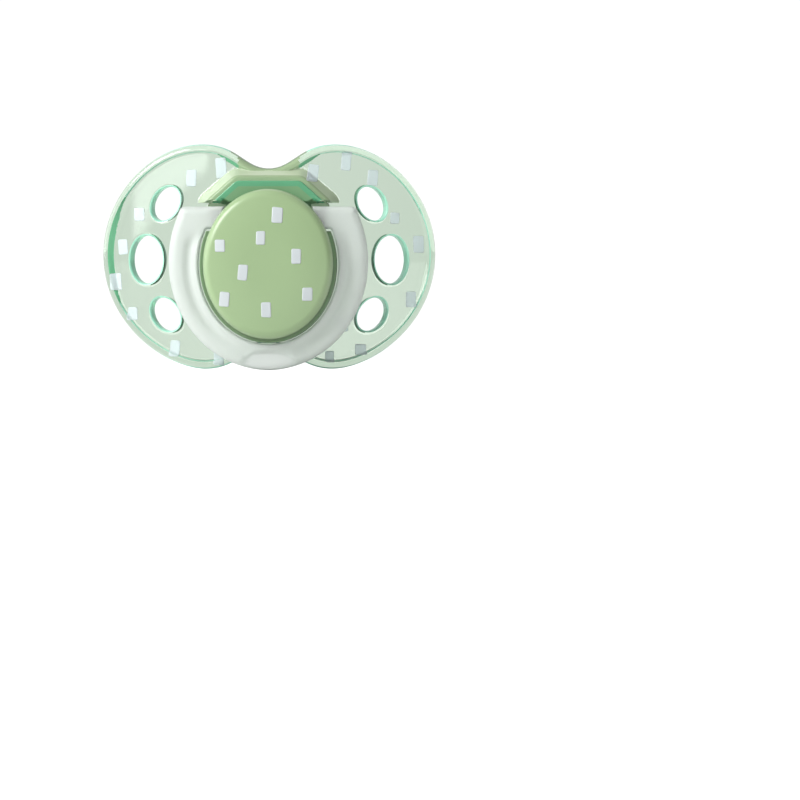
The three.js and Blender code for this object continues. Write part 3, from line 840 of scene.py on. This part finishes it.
def teat_mesh():
    def shape(x, z, y):
        t = min(max((y - 2.5) / 12.5, 0), 1)
        return x, z * (1 + (TEAT_FLATNESS - 1) * t * t * (3 - 2 * t))

    def bulb(start, c1, c2, widest, tip):
        curve = bezier(start, c1, c2, widest, 26)
        a = np.linspace(0, math.pi / 2, 24)[1:]
        nose = np.column_stack([widest[0] * np.cos(a), widest[1] + (tip - widest[1]) * np.sin(a)])
        nose[-1, 0] = 0
        return [tuple(p) for p in np.vstack([curve, nose])]

    outside = bulb((4.7, 5.5), (4.7, 11), (8.8, 14.5), (8.8, 21.5), TEAT_TIP)
    inside = bulb((3.3, 5.5), (3.3, 11.4), (7.0, 14.8), (7.0, 21.5), TEAT_TIP - 1.9)
    neck = [(4.0, -3.25), (7.2, -3.25), (7.36, -3.2), (7.4, -3.1), (7.4, -2.15), (7.3, -2.05), (5.1, -2.05)]
    neck += [(5.0, -1.95), (5.0, 1.1), (5.08, 1.2), (5.5, 1.22), (5.62, 1.32), (5.65, 1.5), (5.62, 1.75)]
    neck += [(5.45, 2.3), (5.15, 3.0), (4.9, 3.7), (4.77, 4.5)]
    inner_end = [(3.5, 4.5), (3.85, 4.1), (4.0, 3.8), (4.0, 0.0), (4.0, -3.25)]
    return turned_mesh(neck + outside + inside[::-1] + inner_end, shape=shape, segments=112)


def plug_mesh():
    rows = [(0, 1.8), (2.4, 1.8), (2.6, 1.6), (2.6, -4.35), (2.75, -4.55), (7.05, -4.55), (7.2, -4.4)]
    rows += [(7.2, -3.5), (7.05, -3.35), (3.95, -3.35), (3.8, -3.2), (3.8, 2.4), (3.1, 3.2), (0, 3.2)]
    return turned_mesh(rows, segments=72)


# ---- Printed dashes: x, z, width, height and lean ----

SHIELD_DASHES = (
    (-8.6, 16.0, 1.9, 3.8, -3.5),
    (-14.0, 14.2, 1.9, 3.0, 0),
    (-23.5, 7.7, 1.8, 2.35, 0),
    (-26.5, 1.8, 1.75, 2.8, -4),
    (-27.7, -4.5, 1.85, 3.0, -4),
    (-24.7, -10.3, 1.7, 2.4, 0),
    (-17.0, -16.6, 1.85, 2.95, 3),
    (-9.0, -18.3, 1.8, 2.6, 0),
    (8.0, 15.1, 2.0, 3.2, 5),
    (14.0, 17.3, 1.75, 3.4, 5),
    (18.8, 14.3, 1.85, 2.8, 5),
    (22.8, 7.0, 1.7, 2.1, 0),
    (27.1, 2.3, 1.85, 3.0, 0),
    (25.7, -7.7, 1.9, 2.85, 0),
    (16.6, -16.8, 2.0, 2.0, 0),
    (11.0, -18.1, 1.6, 2.0, 0),
    (13.5, -12.4, 1.8, 2.35, 0),
)
KNOB_DASHES = (
    (1.7, 7.3, 1.9, 2.9, 4),
    (-1.3, 3.2, 1.7, 2.4, 0),
    (-8.6, 1.8, 1.75, 2.2, 0),
    (5.1, -0.1, 1.75, 2.75, 0),
    (-4.5, -3.0, 1.75, 2.75, 5),
    (-7.8, -7.8, 1.75, 2.65, 6),
    (7.1, -6.9, 1.9, 2.4, 0),
    (-0.3, -9.7, 1.7, 2.65, 0),
)


INK_FRONT, INK_BACK = 0.03, 0.004  # how far in front of its surface the ink's two faces are


def dash_mesh(place, x, z, width, height, lean, index):
    """One thin printed dash: a slightly uneven rounded rectangle laid on a surface by place(x, z, lift)."""
    wobble = 0.07 * math.sin(3.7 * index + 1.1), 0.07 * math.cos(2.3 * index)
    w, h = width / 2, height / 2
    corners = ((-w, -h), (w + wobble[0], -h + wobble[1]), (w, h - wobble[1]), (-w - wobble[0], h))
    edge = rounded(corners, 0.3, 40)
    turn = math.radians(-lean)
    edge = edge @ np.array([[math.cos(turn), math.sin(turn)], [-math.sin(turn), math.cos(turn)]]) + (x, z)
    flat, triangles, rings = triangulated([edge], [], 0.22, lambda p: signed_distance(p, edge) < -1e-5)
    front = (place(flat[:, 0], flat[:, 1], INK_FRONT), facing(triangles, flat, True), rings)
    back = (place(flat[:, 0], flat[:, 1], INK_BACK), facing(triangles, flat, False), rings)
    return shell(front, back, [1])


def on_shield(x, z, lift):
    """Places on the shield's front for real X and Z, a little in front of it."""
    p = np.column_stack([x * SHRINK, z])
    places = plate_place(p, rim_height(-signed_distance(p, SHIELD_EDGE), p))
    if np.abs(x).max() < 15 and z.max() < 17:
        places[:, 1] = hub_levels(x, z, places[:, 1])
    places[:, 1] -= lift
    return places


def on_knob(x, z, lift):
    return np.column_stack([x, knob_front_y(x, z) - lift, z])


# ---- Materials ----


def material(name, colour, roughness, **sockets):
    """A Principled material with fine changes in colour and roughness, and a faint moulded unevenness."""
    m = bpy.data.materials.new(name)
    m.use_nodes = True
    nodes, links = m.node_tree.nodes, m.node_tree.links
    p = nodes["Principled BSDF"]
    for key, value in sockets.get("principled", {}).items():
        p.inputs[key].default_value = value
    where = nodes.new("ShaderNodeTexCoord")
    broad = nodes.new("ShaderNodeTexNoise")
    broad.inputs["Scale"].default_value = sockets.get("broad", 70.0)
    broad.inputs["Detail"].default_value = 2.0
    links.new(where.outputs["Object"], broad.inputs["Vector"])
    mix = nodes.new("ShaderNodeMix")
    mix.data_type = "RGBA"
    other = sockets.get("other", tuple(c * 0.94 for c in colour))
    mix.inputs[6].default_value = (*colour, 1)
    mix.inputs[7].default_value = (*other, 1)
    links.new(broad.outputs["Fac"], mix.inputs[0])
    links.new(mix.outputs[2], p.inputs["Base Color"])
    fine = nodes.new("ShaderNodeTexNoise")
    fine.inputs["Scale"].default_value = sockets.get("fine", 900.0)
    fine.inputs["Detail"].default_value = 3.0
    links.new(where.outputs["Object"], fine.inputs["Vector"])
    span = nodes.new("ShaderNodeMapRange")
    low, high = roughness
    span.inputs["To Min"].default_value = low
    span.inputs["To Max"].default_value = high
    links.new(fine.outputs["Fac"], span.inputs["Value"])
    links.new(span.outputs["Result"], p.inputs["Roughness"])
    bump = nodes.new("ShaderNodeBump")
    bump.inputs["Strength"].default_value = sockets.get("bump", 0.02)
    bump.inputs["Distance"].default_value = 0.0001
    links.new(fine.outputs["Fac"], bump.inputs["Height"])
    links.new(bump.outputs["Normal"], p.inputs["Normal"])
    if "absorb" in sockets:
        colour_out, density = sockets["absorb"]
        volume = nodes.new("ShaderNodeVolumeAbsorption")
        volume.inputs["Color"].default_value = (*colour_out, 1)
        volume.inputs["Density"].default_value = density
        links.new(volume.outputs["Volume"], nodes["Material Output"].inputs["Volume"])
    return m


GREEN_DEPTH = ((0.20, 0.62, 0.32), 250.0)
CLEAR_GREEN = material(
    "clear_green",
    (0.85, 0.815, 0.80),
    (0.015, 0.035),
    other=(0.84, 0.81, 0.785),
    bump=0.01,
    absorb=GREEN_DEPTH,
    principled={"Transmission Weight": 1.0, "IOR": 1.49},
)
# Painted shade: a near-solid teal for the walls of the holes, the outline and the rim's step line, where
# clear plastic's edges look dark.
CLEAR_EDGE_SHADE = material(
    "clear_green_edge_painted_shade",
    (0.36, 0.75, 0.57),
    (0.26, 0.32),
    other=(0.34, 0.73, 0.55),
    bump=0.02,
    absorb=GREEN_DEPTH,
    principled={"Transmission Weight": 0.35, "IOR": 1.49},
)


def green_with_painted_light(name, colour, other, transmission=0.3):
    """The same plastic made almost solid, with a colour that paints in light and shade."""
    clear = {"Transmission Weight": transmission, "IOR": 1.49}
    return material(name, colour, (0.2, 0.28), other=other, bump=0.02, absorb=GREEN_DEPTH, principled=clear)


# Painted shade: darker on the rim's broad step and the tower's outer band, lighter on the tower's inner band,
# dark on the boss and the notch's bottom line. Painted light on the crest with painted shade at the notch's
# bottom, and a pale painted highlight on the collar's slopes.
CLEAR_DARK_SHADE = green_with_painted_light("clear_green_painted_dark_shade", (0.11, 0.38, 0.20), (0.10, 0.36, 0.185))
CLEAR_MID_SHADE = green_with_painted_light("clear_green_painted_mid_shade", (0.175, 0.35, 0.17), (0.165, 0.335, 0.16))
CLEAR_BOSS_SHADE = green_with_painted_light("clear_green_boss_painted_shade", (0.20, 0.33, 0.16), (0.19, 0.32, 0.15), 0.5)
CLEAR_CREST_LIGHT_AND_SHADE = green_with_painted_light("clear_green_crest_painted_light_and_shade", (0.36, 0.49, 0.28), (0.35, 0.475, 0.27), 0.4)
CLEAR_SLOPE_LIGHT = green_with_painted_light("clear_green_slope_painted_light", (0.60, 0.72, 0.50), (0.585, 0.705, 0.485), 0.45)
SHIELD_MATERIALS = (CLEAR_GREEN, CLEAR_EDGE_SHADE, CLEAR_DARK_SHADE, CLEAR_MID_SHADE, CLEAR_BOSS_SHADE, CLEAR_CREST_LIGHT_AND_SHADE, CLEAR_SLOPE_LIGHT)
MILKY = material(
    "milky_plastic",
    (0.68, 0.722, 0.69),
    (0.3, 0.36),
    bump=0.02,
    other=(0.665, 0.705, 0.68),
    principled={"Transmission Weight": 0.5, "IOR": 1.46},
)
LEAF_GREEN = material(
    "leaf_green",
    (0.221, 0.312, 0.162),
    (0.24, 0.27),
    fine=1500.0,
    other=(0.225, 0.317, 0.165),
    bump=0.008,
    principled={"IOR": 1.5},
)
SILICONE = material(
    "clear_silicone",
    (0.80, 0.79, 0.75),
    (0.16, 0.24),
    bump=0.03,
    absorb=((0.80, 0.78, 0.70), 110.0),
    principled={"Transmission Weight": 0.78, "IOR": 1.41},
)
WHITE = material("white_plastic", (0.7, 0.7, 0.68), (0.35, 0.42), bump=0.03, principled={"IOR": 1.46})
SHIELD_INK = material(
    "pale_ink_clear",
    (0.76, 0.84, 0.86),
    (0.35, 0.45),
    bump=0.1,
    principled={"IOR": 1.4, "Transmission Weight": 0.6},
)
INK = material(
    "pale_ink",
    (0.54, 0.585, 0.60),
    (0.35, 0.45),
    bump=0.1,
    principled={"IOR": 1.45, "Transmission Weight": 0.25},
)

# ---- Pieces ----

SHIELD_EDGE = outline()

shield = mesh_object("shield_clear", *shield_mesh(), *SHIELD_MATERIALS, choose=shield_kinds)
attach(shield, "shield_body")
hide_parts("shield")

handle = mesh_object("handle_ring", *joined(handle_mesh(), pin_mesh(1), pin_mesh(-1)), MILKY)
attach(handle, "handle_body")
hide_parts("handle")

knob = mesh_object("knob_dome", *knob_mesh(), LEAF_GREEN)
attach(knob, "shield_body")
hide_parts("knob")

teat = mesh_object("teat_bulb", *teat_mesh(), SILICONE)
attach(teat, "shield_body")
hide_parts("teat")

plug = mesh_object("plug_turned", *plug_mesh(), WHITE)
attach(plug, "shield_body")
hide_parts("teat_plug")

shield_print = mesh_object(
    "shield_print", *joined(*[dash_mesh(on_shield, *d, i) for i, d in enumerate(SHIELD_DASHES)]), SHIELD_INK
)
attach(shield_print, "shield_body")

knob_print = mesh_object(
    "knob_print", *joined(*[dash_mesh(on_knob, *d, i) for i, d in enumerate(KNOB_DASHES)]), INK
)
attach(knob_print, "shield_body")

# ---- Floor, world, lights and camera ----

FLOOR_Z = float(CAD_BOX[0][2])
FLOOR_REACH = 30.0

floor_mesh = bpy.data.meshes.new("floor")
corners = [(x * FLOOR_REACH, y * FLOOR_REACH, FLOOR_Z) for x, y in ((-1, -1), (1, -1), (1, 1), (-1, 1))]
floor_mesh.from_pydata(corners, [], [(0, 1, 2, 3)])
floor = bpy.data.objects.new("floor", floor_mesh)
bpy.context.scene.collection.objects.link(floor)
floor_paint = material("floor_paper", (0.91, 0.91, 0.91), (0.8, 0.9), broad=3.0, other=(0.905, 0.905, 0.905))
floor_mesh.materials.append(floor_paint)

scene = bpy.context.scene
world = bpy.data.worlds.new("studio")
scene.world = world
world.use_nodes = True
wn, wl = world.node_tree.nodes, world.node_tree.links
background = wn["Background"]
coords = wn.new("ShaderNodeTexCoord")


def world_math(operation, a, b):
    """A node that works out an operation on two values or sockets."""
    node = wn.new("ShaderNodeMath")
    node.operation = operation
    for socket, value in zip(node.inputs, (a, b)):
        if isinstance(value, (int, float)):
            socket.default_value = value
        else:
            wl.new(value, socket)
    return node.outputs[0]


def world_span(value, low, high, out_low, out_high):
    """A soft rise from out_low to out_high while the value goes from low to high."""
    node = wn.new("ShaderNodeMapRange")
    node.interpolation_type = "SMOOTHSTEP"
    for name, setting in (("From Min", low), ("From Max", high), ("To Min", out_low), ("To Max", out_high)):
        node.inputs[name].default_value = setting
    wl.new(value, node.inputs["Value"])
    return node.outputs[0]


def towards(direction):
    """How closely the world's direction points the same way, from -1 to 1."""
    node = wn.new("ShaderNodeVectorMath")
    node.operation = "DOT_PRODUCT"
    wl.new(coords.outputs["Generated"], node.inputs[0])
    node.inputs[1].default_value = Vector(direction).normalized()
    return node.outputs["Value"]


def product(*values):
    out = values[0]
    for value in values[1:]:
        out = world_math("MULTIPLY", out, value)
    return out


# White behind, dimmer at the sides, brighter in front to the upper left, with a large soft panel there whose
# lower edge slants, and a strip far to the left.
PANEL_LIGHT, STRIP_LIGHT = 3.8, 2.6
behind = world_span(towards((0, 1, 0)), 0.35, 0.8, 0.55, 1.06)
in_front = world_span(towards((-0.75, -0.25, 0.6)), -0.7, 0.9, 0.28, 0.9)
share = world_span(towards((0, 1, 0)), -0.1, 0.3, 0.0, 1.0)
panel = product(
    world_span(towards((-0.2532, 0.3825, 0.8886)), 0.0, 0.06, 0.0, 1.0),
    world_span(towards((0.5592, -0.829, 0)), 0.0, 0.06, 0.0, 1.0),
    world_span(towards((-0.9205, 0.3907, 0)), 0.0, 0.06, 0.0, 1.0),
    world_span(towards((0, 0, -1)), -0.62, -0.5, 0.0, 1.0),
    world_span(towards((0, -1, 0)), 0.0, 0.2, 0.0, 1.0),
    PANEL_LIGHT,
)
plain_part = world_math("ADD", product(in_front, world_math("SUBTRACT", 1.0, share)), product(share, behind))
strip = world_span(towards((-1, 0.1, 0.1)), 0.86, 0.98, 0.0, STRIP_LIGHT)
wl.new(world_math("ADD", world_math("ADD", plain_part, panel), strip), background.inputs["Strength"])
background.inputs["Color"].default_value = (1, 1, 1, 1)


def aimed(o, target):
    direction = Vector(target) - o.location
    o.rotation_euler = direction.to_track_quat("-Z", "Y").to_euler()


key_data = bpy.data.lights.new("key", "SUN")
key_data.energy = 3.4
key_data.angle = math.radians(35)
key = bpy.data.objects.new("key", key_data)
key.location = (-0.75, -0.42, 0.6)
scene.collection.objects.link(key)
aimed(key, (0, 0, 0))

TARGET = Vector((0.02373, -0.0105, -0.02583))
camera_data = bpy.data.cameras.new("camera")
camera = bpy.data.objects.new("camera", camera_data)
scene.collection.objects.link(camera)
scene.camera = camera
DISTANCE = 1.5
VIEW_WIDTH = 0.14456  # metres across the picture at the target's distance
camera.location = (TARGET.x, TARGET.y - DISTANCE, FLOOR_Z + 0.0019)
aimed(camera, TARGET)
camera_data.sensor_width = 36.0
camera_data.lens = camera_data.sensor_width * DISTANCE / VIEW_WIDTH
camera_data.clip_start = 0.01
camera_data.clip_end = 100.0

scene.view_settings.view_transform = "Standard"
scene.view_settings.look = "None"
scene.cycles.use_denoising = True
scene.cycles.max_bounces = 24
scene.cycles.transmission_bounces = 20
scene.cycles.transparent_max_bounces = 16
